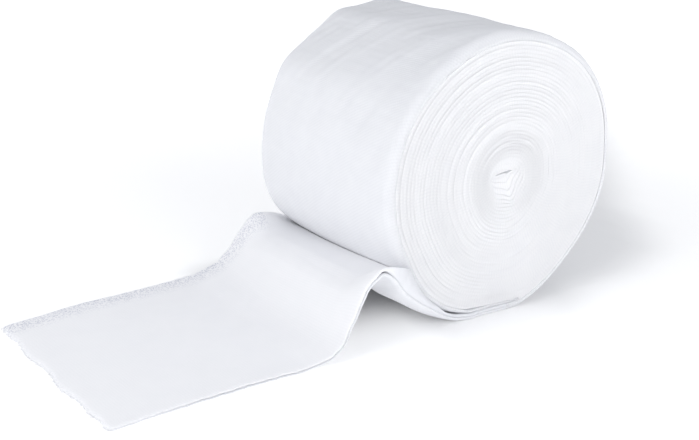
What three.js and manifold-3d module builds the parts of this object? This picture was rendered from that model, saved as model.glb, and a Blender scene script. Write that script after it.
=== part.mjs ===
// A wide roll of white gauze bandage that stands on its rim, with its loose end drawn out over the table.
// The cloth leaves the roll under its lowest point, climbs a little way up beside it, turns over in a soft
// standing fold and then lies flat as far as its cut end.
// Millimetres, +Z up. X runs along the loose end, which points to -X, and Y along the axis of the roll.
// The origin is on the table, under the axis and in the middle of the roll's width.
import * as THREE from 'three';
import { mergeVertices } from 'three/addons/utils/BufferGeometryUtils.js';
import Module from 'manifold-3d';

const wasm = await Module();
wasm.setup();

// The cloth and the way it is wound.
const CLOTH_WIDTH = 100;
const TURN_PITCH = 1.6; // one wound turn of the cloth
const OUTER_TURN_STEP = 2; // the outermost turn is looser
const CLOTH_UNDER_ROLL = 2.8; // two plies with their soft selvedges
const CLOTH_LYING = 1.4; // the same two plies, flat on the table
const CLEARANCE = 0.3; // between the roll and the cloth it stands on

// The roll.
const ROLL_RADIUS = 61.6; // its mean radius
const AXIS_HEIGHT = 61.4;
const ROLL_BOTTOM = CLOTH_UNDER_ROLL + CLEARANCE; // its small flat spot
const TAKE_OFF_ANGLE = -84; // degrees from +X, where the outermost turn stops and the loose end goes on
const RIM_ROUNDING = 4;
const FACE_RADIUS = ROLL_RADIUS - RIM_ROUNDING;

// The groove that the wound edges leave in both end faces. One groove stands for five turns.
const GROOVE_PITCH = 5 * TURN_PITCH;
const GROOVE_WIDTH = 0.9;
const GROOVE_DEPTH = 0.9;
const GROOVE_START = 7; // radius of its inner end
const GROOVE_END = 55;

// How finely the curved shapes are divided.
const ROLL_SIDES = 60;
const RIM_STEPS = 3;
const BARREL_STEPS = 6;
const FACE_SHARES = [0.8, 0.56, 0.34, 0.16];
const GROOVE_STEPS_PER_TURN = 20;
const STEPS_PER_FOLD = 3;
const WIDTH_SHARES = [0, 0.015, 0.035, 0.07, 0.14, 0.24, 0.34, 0.45, 0.56, 0.67, 0.78, 0.87, 0.93, 0.97, 1];

// Where the roll is out of round: swellings and flats, in degrees round the axis and millimetres of radius.
const FRONT_LOBES = [
  { angle: 152, rise: 0.9, spread: 18 },
  { angle: 78, rise: -0.9, spread: 14 },
  { angle: 8, rise: -1, spread: 9 },
  { angle: -48, rise: -1.6, spread: 16 },
  { angle: -124, rise: 1.4, spread: 13 },
  { angle: -152, rise: -0.9, spread: 10 },
];
const BACK_LOBES = [
  { angle: 170, rise: 2.2, spread: 26 },
  { angle: 146, rise: 1.8, spread: 6 },
  { angle: 113, rise: 1.8, spread: 5 },
  { angle: 89, rise: 1, spread: 5 },
  { angle: -155, rise: 4.2, spread: 14 },
];
// How far the middle of the barrel stands out over its two rims.
const CROWN = [
  { angle: 80, rise: 0.5, spread: 35 },
  { angle: -160, rise: 0.4, spread: 60 },
];

// How far each end face stands out from the flat, from its rim to the core.
const FACE_RELIEF = [
  { share: 1, out: 0 },
  { share: 0.8, out: 0.5 },
  { share: 0.5, out: 0.9 },
  { share: 0.2, out: 0.4 },
  { share: 0.08, out: -0.9 },
  { share: 0, out: -1.5 },
];

// The loose end, from the roll to the cut end, along its front and its back selvedge. x, y and z are the
// middle of the cloth's thickness, and curl is how far the very edge turns up out of the cloth.
const FRONT_SELVEDGE = [
  { at: 'take-off', x: 5.8, y: -50, z: 1.4, thick: CLOTH_UNDER_ROLL, curl: 0 },
  { at: 'under the roll', x: -6, y: -50, z: 1.4, thick: CLOTH_UNDER_ROLL, curl: 0 },
  { at: 'under the roll', x: -16, y: -50, z: 1.4, thick: CLOTH_UNDER_ROLL, curl: 0 },
  { at: 'lift-off', x: -22, y: -50, z: 1.5, thick: CLOTH_UNDER_ROLL, curl: 1 },
  { at: 'beside the roll', x: -27.6, y: -50, z: 3.2, thick: 2.8, curl: 1.3 },
  { at: 'beside the roll', x: -37.3, y: -50.3, z: 7.7, thick: 2.8, curl: 2.7 },
  { at: 'beside the roll', x: -46.2, y: -50.8, z: 13.4, thick: 2.8, curl: 3 },
  { at: 'rising', x: -53.9, y: -51.6, z: 20.1, thick: 3, curl: 3 },
  { at: 'rising', x: -58.1, y: -52.3, z: 27.2, thick: 3.2, curl: 1.8 },
  { at: 'crest', x: -63.5, y: -53, z: 32.3, thick: 3.4, curl: 0.3 },
  { at: 'falling', x: -69.6, y: -53.8, z: 29.5, thick: 2.4, curl: 0 },
  { at: 'falling', x: -73.5, y: -54.4, z: 24.8, thick: 2.2, curl: 0 },
  { at: 'falling', x: -78.2, y: -55, z: 15.4, thick: 2, curl: 0 },
  { at: 'falling', x: -81.4, y: -55.3, z: 8.7, thick: 1.8, curl: 0 },
  { at: 'foot of the fold', x: -86, y: -55.5, z: 4, thick: 1.6, curl: 0 },
  { at: 'touch-down', x: -93, y: -55.5, z: 1.5, thick: CLOTH_LYING, curl: 0 },
  { at: 'lying', x: -104, y: -55.4, z: 0.7, thick: CLOTH_LYING, curl: 0 },
  { at: 'lying', x: -126, y: -55.6, z: 0.7, thick: CLOTH_LYING, curl: 0 },
  { at: 'lying', x: -151, y: -56.6, z: 0.7, thick: CLOTH_LYING, curl: 0 },
  { at: 'cut end', x: -176.8, y: -58.4, z: 0.7, thick: CLOTH_LYING, curl: 0 },
];
const BACK_SELVEDGE = [
  { at: 'take-off', x: 5.8, y: 50, z: 1.4, thick: CLOTH_UNDER_ROLL, curl: 0 },
  { at: 'under the roll', x: -6, y: 50, z: 1.4, thick: CLOTH_UNDER_ROLL, curl: 0 },
  { at: 'under the roll', x: -16, y: 50, z: 1.4, thick: CLOTH_UNDER_ROLL, curl: 0 },
  { at: 'lift-off', x: -22, y: 50, z: 1.5, thick: CLOTH_UNDER_ROLL, curl: 1 },
  { at: 'beside the roll', x: -27.6, y: 50, z: 2.9, thick: 2.8, curl: 1.5 },
  { at: 'beside the roll', x: -37.3, y: 50, z: 8.2, thick: 2.6, curl: 1.5 },
  { at: 'beside the roll', x: -45.1, y: 50, z: 14.4, thick: 2.6, curl: 1.5 },
  { at: 'rising', x: -51.3, y: 50, z: 19.7, thick: 2.6, curl: 0.8 },
  { at: 'rising', x: -56.2, y: 49.8, z: 22.7, thick: 2.4, curl: 0 },
  { at: 'crest', x: -64.5, y: 49.5, z: 24.8, thick: 2.2, curl: 0 },
  { at: 'falling', x: -68.9, y: 49.2, z: 23.4, thick: 2, curl: 0 },
  { at: 'falling', x: -74, y: 48.8, z: 18.3, thick: 2, curl: 0 },
  { at: 'falling', x: -78.6, y: 48.3, z: 12.6, thick: 1.8, curl: 0 },
  { at: 'falling', x: -83.2, y: 47.8, z: 8, thick: 1.8, curl: 0 },
  { at: 'foot of the fold', x: -87.3, y: 47.2, z: 4.6, thick: 1.6, curl: 0 },
  { at: 'touch-down', x: -97, y: 45.8, z: 2.3, thick: CLOTH_LYING, curl: 0 },
  { at: 'lying', x: -108, y: 45.2, z: 0.7, thick: CLOTH_LYING, curl: 0 },
  { at: 'lying', x: -130, y: 42.4, z: 0.7, thick: CLOTH_LYING, curl: 0 },
  { at: 'lying', x: -157, y: 40, z: 0.7, thick: CLOTH_LYING, curl: 0 },
  { at: 'cut end', x: -188, y: 34, z: 0.7, thick: CLOTH_LYING, curl: 0 },
];
const CURL_SHARE = 0.06; // the part of the width, from each selvedge, that curls

// Where the cut end bulges out past a straight cut, from the front to the back selvedge.
const CUT_SCALLOPS = [
  { across: 0.03, out: 0.5, spread: 0.03 },
  { across: 0.18, out: 0.7, spread: 0.05 },
  { across: 0.39, out: 2, spread: 0.07 },
  { across: 0.69, out: 1.6, spread: 0.08 },
  { across: 0.93, out: 1.4, spread: 0.04 },
];

const WHITE_GAUZE = new THREE.MeshStandardMaterial({ color: 0xeeeff3, roughness: 0.95, metalness: 0 });

/** The sum of bell-shaped swellings at an angle round the roll, in degrees. */
function swelling(lobes, angle) {
  let sum = 0;
  for (const { angle: middle, rise, spread } of lobes) {
    const away = THREE.MathUtils.euclideanModulo(angle - middle + 180, 360) - 180;
    sum += rise * Math.exp(-0.5 * (away / spread) ** 2);
  }
  return sum;
}

/** Radius of the barrel, in a spiral that shrinks by one turn of cloth on its way round from the take-off. */
function barrelRadius(turn, y) {
  const angle = TAKE_OFF_ANGLE + 360 * turn;
  const back = y / CLOTH_WIDTH + 0.5;
  const lobes = THREE.MathUtils.lerp(swelling(FRONT_LOBES, angle), swelling(BACK_LOBES, angle), back);
  const crown = swelling(CROWN, angle) * (1 - (2 * back - 1) ** 2);
  return ROLL_RADIUS + OUTER_TURN_STEP * (0.5 - turn) + lobes + crown;
}

/** How far an end face stands out at a share of its radius. */
function faceRelief(share) {
  const outer = FACE_RELIEF.findLast((row) => row.share >= share);
  const inner = FACE_RELIEF.find((row) => row.share < share) ?? outer;
  if (inner === outer) return outer.out;
  const t = (share - inner.share) / (outer.share - inner.share);
  return THREE.MathUtils.lerp(inner.out, outer.out, t * t * (3 - 2 * t));
}

/** A point of the roll. It is pressed flat on the table, and past one turn on the cloth it stands on. */
function rollPoint(turn, radius, y) {
  const angle = THREE.MathUtils.degToRad(TAKE_OFF_ANGLE + 360 * turn);
  const floor = turn > 0.5 ? ROLL_BOTTOM : 0;
  const z = Math.max(AXIS_HEIGHT + radius * Math.sin(angle), floor);
  return new THREE.Vector3(radius * Math.cos(angle), y, z);
}

/** One closed ring of points round the roll. Its last point and its first make the step of the take-off. */
function rollRing(y, radiusAt) {
  const ring = [];
  for (let i = 0; i <= ROLL_SIDES; i++) {
    const turn = i / ROLL_SIDES;
    ring.push(rollPoint(turn, radiusAt(turn), y));
  }
  return ring;
}

/** A geometry from a list of points and a list of triangles. */
function geometryOf(points, triangles) {
  const geometry = new THREE.BufferGeometry().setFromPoints(points);
  geometry.setIndex(triangles.flat());
  return geometry;
}

/** A closed skin over rings of points, with a single point at each of its ends. */
function skin(firstPoint, rings, lastPoint) {
  const count = rings[0].length;
  const points = [firstPoint, ...rings.flat(), lastPoint];
  const last = points.length - 1;
  const triangles = [];
  for (let i = 0; i < count; i++) {
    const next = (i + 1) % count;
    triangles.push([0, 1 + i, 1 + next]);
    for (let ring = 0; ring < rings.length - 1; ring++) {
      const here = 1 + ring * count;
      const there = here + count;
      triangles.push([here + i, there + i, there + next], [here + i, there + next, here + next]);
    }
    const end = last - count;
    triangles.push([last, end + next, end + i]);
  }
  return geometryOf(points, triangles);
}

/** A closed solid through a row of sections. Each section has an upper and a lower line of points. */
function slab(sections) {
  const count = sections[0].upper.length;
  const points = sections.flatMap(({ upper, lower }) => [...upper, ...lower.toReversed()]);
  const around = 2 * count;
  const triangles = [];
  for (let s = 0; s < sections.length - 1; s++) {
    for (let i = 0; i < around; i++) {
      const a = s * around + i;
      const b = s * around + ((i + 1) % around);
      triangles.push([a, a + around, b + around], [a, b + around, b]);
    }
  }
  const end = (sections.length - 1) * around;
  for (let i = 0; i < count - 1; i++) {
    const below = around - 1 - i;
    triangles.push([i, i + 1, below - 1], [i, below - 1, below]);
    triangles.push([end + i, end + below - 1, end + i + 1], [end + i, end + below, end + below - 1]);
  }
  return geometryOf(points, triangles);
}

/** The geometry as a solid, to cut with. A shape that was drawn inside out is turned right side out. */
function solidOf(geometry) {
  const merged = mergeVertices(geometry);
  const mesh = new wasm.Mesh({
    numProp: 3,
    vertProperties: merged.attributes.position.array,
    triVerts: new Uint32Array(merged.index.array),
  });
  const solid = new wasm.Manifold(mesh);
  if (solid.volume() > 0) return solid;
  mesh.triVerts.reverse();
  return new wasm.Manifold(mesh);
}

/** The solid as a geometry, to show. */
function geometryOfSolid(solid) {
  const { vertProperties, triVerts } = solid.getMesh();
  const geometry = new THREE.BufferGeometry();
  geometry.setAttribute('position', new THREE.BufferAttribute(vertProperties, 3));
  geometry.setIndex(new THREE.BufferAttribute(triVerts, 1));
  return geometry;
}

/** The roll without its grooves: two end faces, two rounded rims and the barrel between them. */
function plainRoll() {
  const half = CLOTH_WIDTH / 2;
  const faceRings = (side) => {
    const faceRadius = (turn) => barrelRadius(turn, side * half) - RIM_ROUNDING;
    return FACE_SHARES.map((share) =>
      rollRing(side * (half + faceRelief(share)), (turn) => share * faceRadius(turn)),
    );
  };
  const rimRings = (side) =>
    Array.from({ length: RIM_STEPS + 1 }, (_, i) => {
      const bend = (i / RIM_STEPS) * (Math.PI / 2);
      const y = side * (half - RIM_ROUNDING * (1 - Math.cos(bend)));
      return rollRing(y, (turn) => barrelRadius(turn, y) - RIM_ROUNDING * (1 - Math.sin(bend)));
    });
  const barrelRings = Array.from({ length: BARREL_STEPS - 1 }, (_, i) => {
    const y = (half - RIM_ROUNDING) * ((2 * (i + 1)) / BARREL_STEPS - 1);
    return rollRing(y, (turn) => barrelRadius(turn, y));
  });
  const core = (side) => new THREE.Vector3(0, side * (half + faceRelief(0)), AXIS_HEIGHT);
  const rings = [
    ...faceRings(-1).toReversed(),
    ...rimRings(-1),
    ...barrelRings,
    ...rimRings(1).toReversed(),
    ...faceRings(1),
  ];
  return skin(core(-1), rings, core(1));
}

/** The spiral groove of one end face, as the bar that cuts it. */
function grooveCutter(side) {
  const turns = (GROOVE_END - GROOVE_START) / GROOVE_PITCH;
  const steps = Math.round(turns * GROOVE_STEPS_PER_TURN);
  const sections = [];
  for (let i = 0; i <= steps; i++) {
    const turn = (i / steps) * turns;
    const radius = GROOVE_START + GROOVE_PITCH * turn;
    // Outside the face the bar is clear of it, and inside it goes one groove's depth into the cloth.
    const face = CLOTH_WIDTH / 2 + faceRelief(Math.min(1, radius / FACE_RADIUS));
    const line = (out) =>
      [-0.5, 0.5].map((edge) => rollPoint(-turn, radius + edge * GROOVE_WIDTH, side * (face + out)));
    sections.push({ upper: line(GROOVE_DEPTH), lower: line(-GROOVE_DEPTH) });
  }
  return solidOf(slab(sections));
}

/** The wound roll, with the groove of its turns in both faces. */
function woundRoll() {
  const roll = solidOf(plainRoll());
  return geometryOfSolid(roll.subtract(grooveCutter(-1)).subtract(grooveCutter(1)));
}

/** A selvedge of the loose end as a smooth line: its place, way, thickness and curl at a share of it. */
function selvedge(rows) {
  const line = new THREE.CatmullRomCurve3(
    rows.map(({ x, y, z }) => new THREE.Vector3(x, y, z)),
    false,
    'centripetal',
  );
  return (along) => {
    const row = Math.min(Math.floor(along * (rows.length - 1)), rows.length - 2);
    const between = along * (rows.length - 1) - row;
    return {
      point: line.getPoint(along),
      way: line.getTangent(along),
      thick: THREE.MathUtils.lerp(rows[row].thick, rows[row + 1].thick, between),
      curl: THREE.MathUtils.lerp(rows[row].curl, rows[row + 1].curl, between),
    };
  };
}

/** How far the cut end bulges out at a share of the width. */
function scallop(across) {
  let sum = 0;
  for (const { across: middle, out, spread } of CUT_SCALLOPS) {
    sum += out * Math.exp(-0.5 * ((across - middle) / spread) ** 2);
  }
  return sum;
}

/** How much of its curl the cloth has at a share of the width: all of it at the selvedge, soon none. */
function curlShare(fromSelvedge) {
  return Math.max(0, 1 - fromSelvedge / CURL_SHARE) ** 2;
}

/** The loose end: a sheet over the folds of its two selvedges, flat underneath where it lies on the table. */
function looseEnd() {
  const [frontAt, backAt] = [selvedge(FRONT_SELVEDGE), selvedge(BACK_SELVEDGE)];
  const steps = STEPS_PER_FOLD * (FRONT_SELVEDGE.length - 1);
  const sections = [];
  for (let i = 0; i <= steps; i++) {
    const [front, back] = [frontAt(i / steps), backAt(i / steps)];
    const across = back.point.clone().sub(front.point);
    const section = { upper: [], lower: [] };
    for (const t of WIDTH_SHARES) {
      const middle = front.point.clone().lerp(back.point, t);
      const thick = THREE.MathUtils.lerp(front.thick, back.thick, t);
      const normal = across.clone().cross(front.way.clone().lerp(back.way, t)).normalize();
      const lower = middle.clone().addScaledVector(normal, -thick / 2);
      const upper = middle.clone().addScaledVector(normal, thick / 2);
      if (lower.z < CLEARANCE / 2) {
        lower.z = 0;
        upper.z = thick;
      }
      const curl = front.curl * curlShare(t) + back.curl * curlShare(1 - t);
      const bulge = i === steps ? -scallop(t) : 0;
      for (const point of [lower, upper]) point.addScaledVector(normal, curl).setX(point.x + bulge);
      section.upper.push(upper);
      section.lower.push(lower);
    }
    sections.push(section);
  }
  return geometryOfSolid(solidOf(slab(sections)));
}

/** A named piece of the bandage. */
function piece(name, geometry) {
  const mesh = new THREE.Mesh(geometry, WHITE_GAUZE.clone());
  mesh.name = name;
  return mesh;
}

const bandage = new THREE.Group();
bandage.add(piece('wound_roll', woundRoll()));
bandage.add(piece('loose_end', looseEnd()));

export default bandage;
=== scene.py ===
"""Looks of a wide roll of white gauze bandage that stands on its rim, with its loose end drawn out.

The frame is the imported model's: metres, +Z up, Y along the axis of the roll, the loose end towards -X and the
end face that the camera sees towards -Y. Sizes in this file are in millimetres, as in the part's source, and
turn to metres where a mesh is made.
"""

import logging
import math
from dataclasses import dataclass
from enum import Enum
from typing import Any, NamedTuple, Sequence

import bpy
import numpy as np
from mathutils import Matrix, Vector


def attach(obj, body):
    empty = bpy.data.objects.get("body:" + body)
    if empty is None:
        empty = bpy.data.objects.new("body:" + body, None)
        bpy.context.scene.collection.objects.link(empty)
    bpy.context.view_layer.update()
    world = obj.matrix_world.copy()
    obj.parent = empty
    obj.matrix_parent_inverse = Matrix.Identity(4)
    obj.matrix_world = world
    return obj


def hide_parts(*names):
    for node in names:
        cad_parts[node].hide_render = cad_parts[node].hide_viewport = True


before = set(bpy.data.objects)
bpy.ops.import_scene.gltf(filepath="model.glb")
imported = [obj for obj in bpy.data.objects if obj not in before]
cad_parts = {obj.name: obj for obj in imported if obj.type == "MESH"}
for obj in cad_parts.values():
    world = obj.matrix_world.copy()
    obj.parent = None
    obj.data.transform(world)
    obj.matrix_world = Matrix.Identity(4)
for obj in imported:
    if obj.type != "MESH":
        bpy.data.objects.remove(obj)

LOG = logging.getLogger("gauze_bandage")
MM = 0.001
CLOTH_MAP = "cloth_mm"  # the UV map of every piece: millimetres along the cloth and across it
OPENNESS = "openness"  # how open the mesh is, on the points of a piece: 0 is dense cloth and 1 an open selvedge
Place = tuple[float, float, float]
Span = tuple[float, float]
Array = np.ndarray
Tree = bpy.types.NodeTree


class Bell(NamedTuple):
    """A bell-shaped swelling at an angle round the roll."""

    angle: float
    rise: float
    spread: float


class FoldRow(NamedTuple):
    """One row of a selvedge of the loose end: the middle of its thickness, its thickness and its curl."""

    x: float
    y: float
    z: float
    thick: float
    curl: float


def fold_rows(*rows: tuple[float, float, float, float, float]) -> tuple[FoldRow, ...]:
    """Returns the rows of a selvedge, from the roll to the cut."""
    return tuple(FoldRow(*row) for row in rows)


class Scallop(NamedTuple):
    """A bulge of the cut end, at a share of the width."""

    across: float
    out: float
    spread: float


class FaceArc(NamedTuple):
    """A group of turns that stands out of the end face along an arc, at a share of the radius."""

    share: float
    width: float
    angle: float
    spread: float
    out: float


class Crinkle(NamedTuple):
    """A layer of dents: its height, what it gains on top of the roll, the size of a dent, its seed and its turn."""

    height: float
    on_top: float
    along: float
    across: float
    seed: int
    turned: float = 0.0


class CoreKink(NamedTuple):
    """A kink in the innermost turns, at a radius and an angle."""

    radius: float
    width: float
    angle: float
    spread: float
    rise: float


def mix(low: Any, high: Any, share: Any) -> Any:
    """Returns the value at a share of the way from low to high."""
    return low + (high - low) * share


def ease(low: float, high: float, value: Array) -> Array:
    """Returns a smooth step from 0 at low to 1 at high."""
    t = np.clip((value - low) / (high - low), 0.0, 1.0)
    return t * t * (3 - 2 * t)


def angle_from(angle: Array, middle: float) -> Array:
    """Returns the signed angle from middle, in degrees between -180 and 180."""
    return (angle - middle + 180.0) % 360.0 - 180.0


def bell(away: Array, spread: float) -> Array:
    """Returns a bell curve of height 1."""
    return np.exp(-0.5 * (away / spread) ** 2)


def on_face(base: Array, arcs: Sequence[FaceArc], angle: Array, share: Array, side: int) -> Array:
    """Adds some arcs to the values of an end face. The back face has them in mirror image.

    Args:
        base: The values.
        arcs: The arcs.
        angle: Angles round the roll, in degrees.
        share: Shares of the radius.
        side: -1 for the front end face, 1 for the back one.

    Returns:
        The values with the arcs.
    """
    for arc in arcs:
        middle = arc.angle if side < 0 else 180.0 - arc.angle
        base = base + arc.out * bell(angle_from(angle, middle), arc.spread) * bell(share - arc.share, arc.width)
    return base


def rounded(from_edge: Array, radius: Any) -> Array:
    """Returns the fall of a rounded edge, from 1 at the edge to 0 at its radius from it."""
    return 1 - np.sqrt(1 - (1 - np.clip(from_edge / radius, 0, 1)) ** 2)


def swelling(bells: Sequence[Bell], angle: Array) -> Array:
    """Returns the sum of some swellings.

    Args:
        bells: The swellings, in millimetres and degrees.
        angle: Angles round the roll, in degrees.

    Returns:
        The height of the sum at each angle.
    """
    return sum((b.rise * bell(angle_from(angle, b.angle), b.spread) for b in bells), np.zeros_like(angle))


def cloth_noise(
    u: Array, v: Array, cell: tuple[float, float], seed: int, turned: float = 0.0
) -> Array:
    """Returns smooth random heights between -1 and 1 on the cloth.

    Args:
        u: Millimetres along the cloth.
        v: Millimetres across it.
        cell: Length of one dent along its two directions.
        seed: Which heights are drawn.
        turned: Angle that the dents are turned by on the cloth, in degrees.

    Returns:
        The heights, of the shape of u and v together.
    """
    side, far = 64, 200.0  # the cells of the table of heights, and a shift that keeps all places positive
    table = np.random.default_rng(seed).uniform(-1.0, 1.0, (side, side))
    c, s = math.cos(math.radians(turned)), math.sin(math.radians(turned))
    x, y = (c * u + s * v) / cell[0] + far, (c * v - s * u) / cell[1] + far
    i, j = np.floor(x).astype(int), np.floor(y).astype(int)
    a, b = (t**3 * (t * (6 * t - 15) + 10) for t in (x - i, y - j))
    low, high = (mix(table[i % side, k % side], table[(i + 1) % side, k % side], a) for k in (j, j + 1))
    return mix(low, high, b)


def crinkled(layers: Sequence[Crinkle], u: Array, v: Array, top: Any = 0.0) -> Array:
    """Returns the sum of some layers of dents.

    Args:
        layers: The layers.
        u: Millimetres along the cloth.
        v: Millimetres across it.
        top: How much each place is on top of the roll, from 0 to 1.

    Returns:
        The heights, in millimetres.
    """
    return sum(
        (layer.height + layer.on_top * top) * cloth_noise(u, v, (layer.along, layer.across), layer.seed, layer.turned)
        for layer in layers
    )


def linear(colour: str) -> tuple[float, float, float, float]:
    """Returns an sRGB hex colour as linear RGBA."""
    parts = [int(colour[i : i + 2], 16) / 255 for i in (1, 3, 5)]
    r, g, b = (p / 12.92 if p <= 0.04045 else ((p + 0.055) / 1.055) ** 2.4 for p in parts)
    return r, g, b, 1.0


def add_node(tree: Tree, kind: str, links: dict | None = None, **settings: Any) -> bpy.types.Node:
    """Adds a node with its settings and links.

    Args:
        tree: The tree that it goes into.
        kind: The node's type.
        links: What each input socket, by name or number, comes from or is set to.
        settings: The node's own properties.

    Returns:
        The node.
    """
    node = tree.nodes.new(kind)
    for name, value in settings.items():
        setattr(node, name, value)
    for socket, source in (links or {}).items():
        if isinstance(source, bpy.types.NodeSocket):
            tree.links.new(source, node.inputs[socket])
        else:
            node.inputs[socket].default_value = source
    return node


class Kind(Enum):
    """What a mix node works on: the numbers of its first value's socket and of its result's."""

    FLOAT = (2, 0)
    VECTOR = (4, 1)
    RGBA = (6, 2)


def blended(tree: Tree, kind: Kind, share: Any, low: Any, high: Any) -> bpy.types.NodeSocket:
    """Adds a mix of two values and returns its result."""
    first, result = kind.value
    links = {0: share, first: low, first + 1: high}
    return add_node(tree, "ShaderNodeMix", links, data_type=kind.name).outputs[result]


def calculated(tree: Tree, operation: str, *values: Any) -> bpy.types.NodeSocket:
    """Adds a math node for some numbers or sockets and returns its result."""
    return add_node(tree, "ShaderNodeMath", dict(enumerate(values)), operation=operation).outputs[0]


def ranged(
    tree: Tree, value: Any, low: float, high: float, start: Any = 0.0, end: Any = 1.0
) -> bpy.types.NodeSocket:
    """Adds a node that maps values between low and high onto start to end, and returns its result."""
    return add_node(tree, "ShaderNodeMapRange", {0: value, 1: low, 2: high, 3: start, 4: end}).outputs[0]


def clouded(tree: Tree, place: Any, cell_mm: float, detail: float) -> bpy.types.NodeSocket:
    """Adds a soft noise with cells of some millimetres and returns its result."""
    links = {"Vector": place, "Scale": 1 / (cell_mm * MM), "Detail": detail}
    return add_node(tree, "ShaderNodeTexNoise", links).outputs["Fac"]


def started_group(name: str, inputs: Sequence[tuple[str, str]]) -> Tree:
    """Makes a geometry node tree with named inputs, given with their types, and one output."""
    tree = bpy.data.node_groups.new(name, "GeometryNodeTree")
    for label, kind in inputs:
        tree.interface.new_socket(name=label, in_out="INPUT", socket_type=f"NodeSocket{kind}")
    tree.interface.new_socket(name="Cloth", in_out="OUTPUT", socket_type="NodeSocketGeometry")
    return tree


def end_group(tree: Tree, geometry: Any, material: Any) -> None:
    """Ends a geometry node tree: its geometry is made real and gets its material."""
    real = add_node(tree, "GeometryNodeRealizeInstances", {"Geometry": geometry}).outputs["Geometry"]
    dressed = add_node(tree, "GeometryNodeSetMaterial", {"Geometry": real, "Material": material})
    add_node(tree, "NodeGroupOutput", {"Cloth": dressed.outputs["Geometry"]})


class Sheet(NamedTuple):
    """The two sides of a cloth as grids of points, and the place of each point on the flat cloth."""

    upper: Array
    lower: Array
    along: Array
    across: Array
    openness: Array


def signed_volume(points: Array, triangles: Array) -> float:
    """Returns the volume of a closed mesh, which is negative where its faces point inwards."""
    a, b, c = (points[triangles[:, k]] for k in range(3))
    return float(np.einsum("ij,ij->i", a, np.cross(b, c)).sum() / 6)


def sheet_mesh(name: str, sheet: Sheet) -> bpy.types.Mesh:
    """Makes a closed mesh from the two sides of a cloth.

    Args:
        name: The name of the mesh.
        sheet: Its sides, in millimetres.

    Returns:
        The mesh in metres, with smooth faces, its cloth map and its openness.
    """
    rows, columns = sheet.along.shape
    count = rows * columns
    index = np.arange(count).reshape(rows, columns)
    top = np.stack([index[:-1, :-1], index[1:, :-1], index[1:, 1:], index[:-1, 1:]], -1).reshape(-1, 4)
    rim = np.concatenate([index[:, 0], index[-1, 1:], index[-2::-1, -1], index[0, -2:0:-1]])
    after = np.roll(rim, -1)
    wall = np.stack([rim, rim + count, after + count, after], -1)
    quads = np.concatenate([top, top[:, ::-1] + count, wall])
    points = np.concatenate([sheet.upper.reshape(-1, 3), sheet.lower.reshape(-1, 3)]) * MM
    triangles = np.concatenate([quads[:, [0, 1, 2]], quads[:, [0, 2, 3]]])
    if signed_volume(points, triangles) < 0:
        quads = quads[:, ::-1]
    mesh = bpy.data.meshes.new(name)
    mesh.from_pydata(points.tolist(), [], quads.tolist())
    mesh.shade_smooth()
    flat = np.stack([sheet.along.ravel(), sheet.across.ravel()], -1)
    corners = np.zeros(len(mesh.loops), np.int32)
    mesh.loops.foreach_get("vertex_index", corners)
    mesh.uv_layers.new(name=CLOTH_MAP).uv.foreach_set("vector", flat[corners % count].astype(np.float32).ravel())
    attribute = mesh.attributes.new(OPENNESS, "FLOAT", "POINT")
    attribute.data.foreach_set("value", np.tile(sheet.openness.ravel(), 2).astype(np.float32))
    return mesh


def add_piece(name: str, mesh: bpy.types.Mesh, material: bpy.types.Material, solid: str) -> bpy.types.Object:
    """Puts a mesh into the scene at the origin, as a piece of the bandage.

    Args:
        name: The piece's name.
        mesh: Its mesh.
        material: Its material.
        solid: The solid of the frame that it takes the place of.

    Returns:
        The piece.
    """
    mesh.name = name
    mesh.materials.clear()
    mesh.materials.append(material)
    piece = bpy.data.objects.new(name, mesh)
    bpy.context.scene.collection.objects.link(piece)
    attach(piece, "root")
    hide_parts(solid)
    return piece


def line_object(name: str, points: Array, closed: bool, values: dict[str, Array]) -> bpy.types.Object:
    """Makes a line of points that carries named values, for a node tree to follow.

    Args:
        name: The object's name.
        points: The points, in metres.
        closed: Whether the last point joins the first.
        values: Numbers or vectors for the points, by name.

    Returns:
        The object, linked to the scene.
    """
    mesh = bpy.data.meshes.new(name)
    edges = [(i, i + 1) for i in range(len(points) - 1)] + ([(len(points) - 1, 0)] if closed else [])
    mesh.from_pydata(points.tolist(), edges, [])
    for key, value in values.items():
        vector = value.ndim == 2
        attribute = mesh.attributes.new(key, "FLOAT_VECTOR" if vector else "FLOAT", "POINT")
        attribute.data.foreach_set("vector" if vector else "value", value.astype(np.float32).ravel())
    line = bpy.data.objects.new(name, mesh)
    bpy.context.scene.collection.objects.link(line)
    return line


def grown(line: bpy.types.Object, tree: Tree, inputs: dict[str, Any]) -> bpy.types.Mesh:
    """Runs a node tree on a line and keeps the result as a plain mesh.

    Args:
        line: The line. It is removed.
        tree: The geometry node tree.
        inputs: Values for the tree's inputs, by name.

    Returns:
        The mesh, with its faces pointing outwards.
    """
    modifier = line.modifiers.new(tree.name, "NODES")
    modifier.node_group = tree
    sockets = {item.name: item.identifier for item in tree.interface.items_tree if item.in_out == "INPUT"}
    for name, value in inputs.items():
        modifier[sockets[name]] = value
    line.update_tag()
    depsgraph = bpy.context.evaluated_depsgraph_get()
    mesh = bpy.data.meshes.new_from_object(line.evaluated_get(depsgraph), depsgraph=depsgraph)
    line.modifiers.remove(modifier)
    bpy.data.objects.remove(line)
    mesh.calc_loop_triangles()
    points = np.zeros(len(mesh.vertices) * 3, np.float32)
    mesh.vertices.foreach_get("co", points)
    triangles = np.zeros(len(mesh.loop_triangles) * 3, np.int32)
    mesh.loop_triangles.foreach_get("vertices", triangles)
    if signed_volume(points.reshape(-1, 3).astype(float), triangles.reshape(-1, 3)) < 0:
        mesh.flip_normals()
    mesh.shade_smooth()
    return mesh


class Stretch(Enum):
    """Which stretch of the cloth a finish is for."""

    WOUND = "wound"
    LYING = "lying"
    THREAD = "thread"


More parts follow.
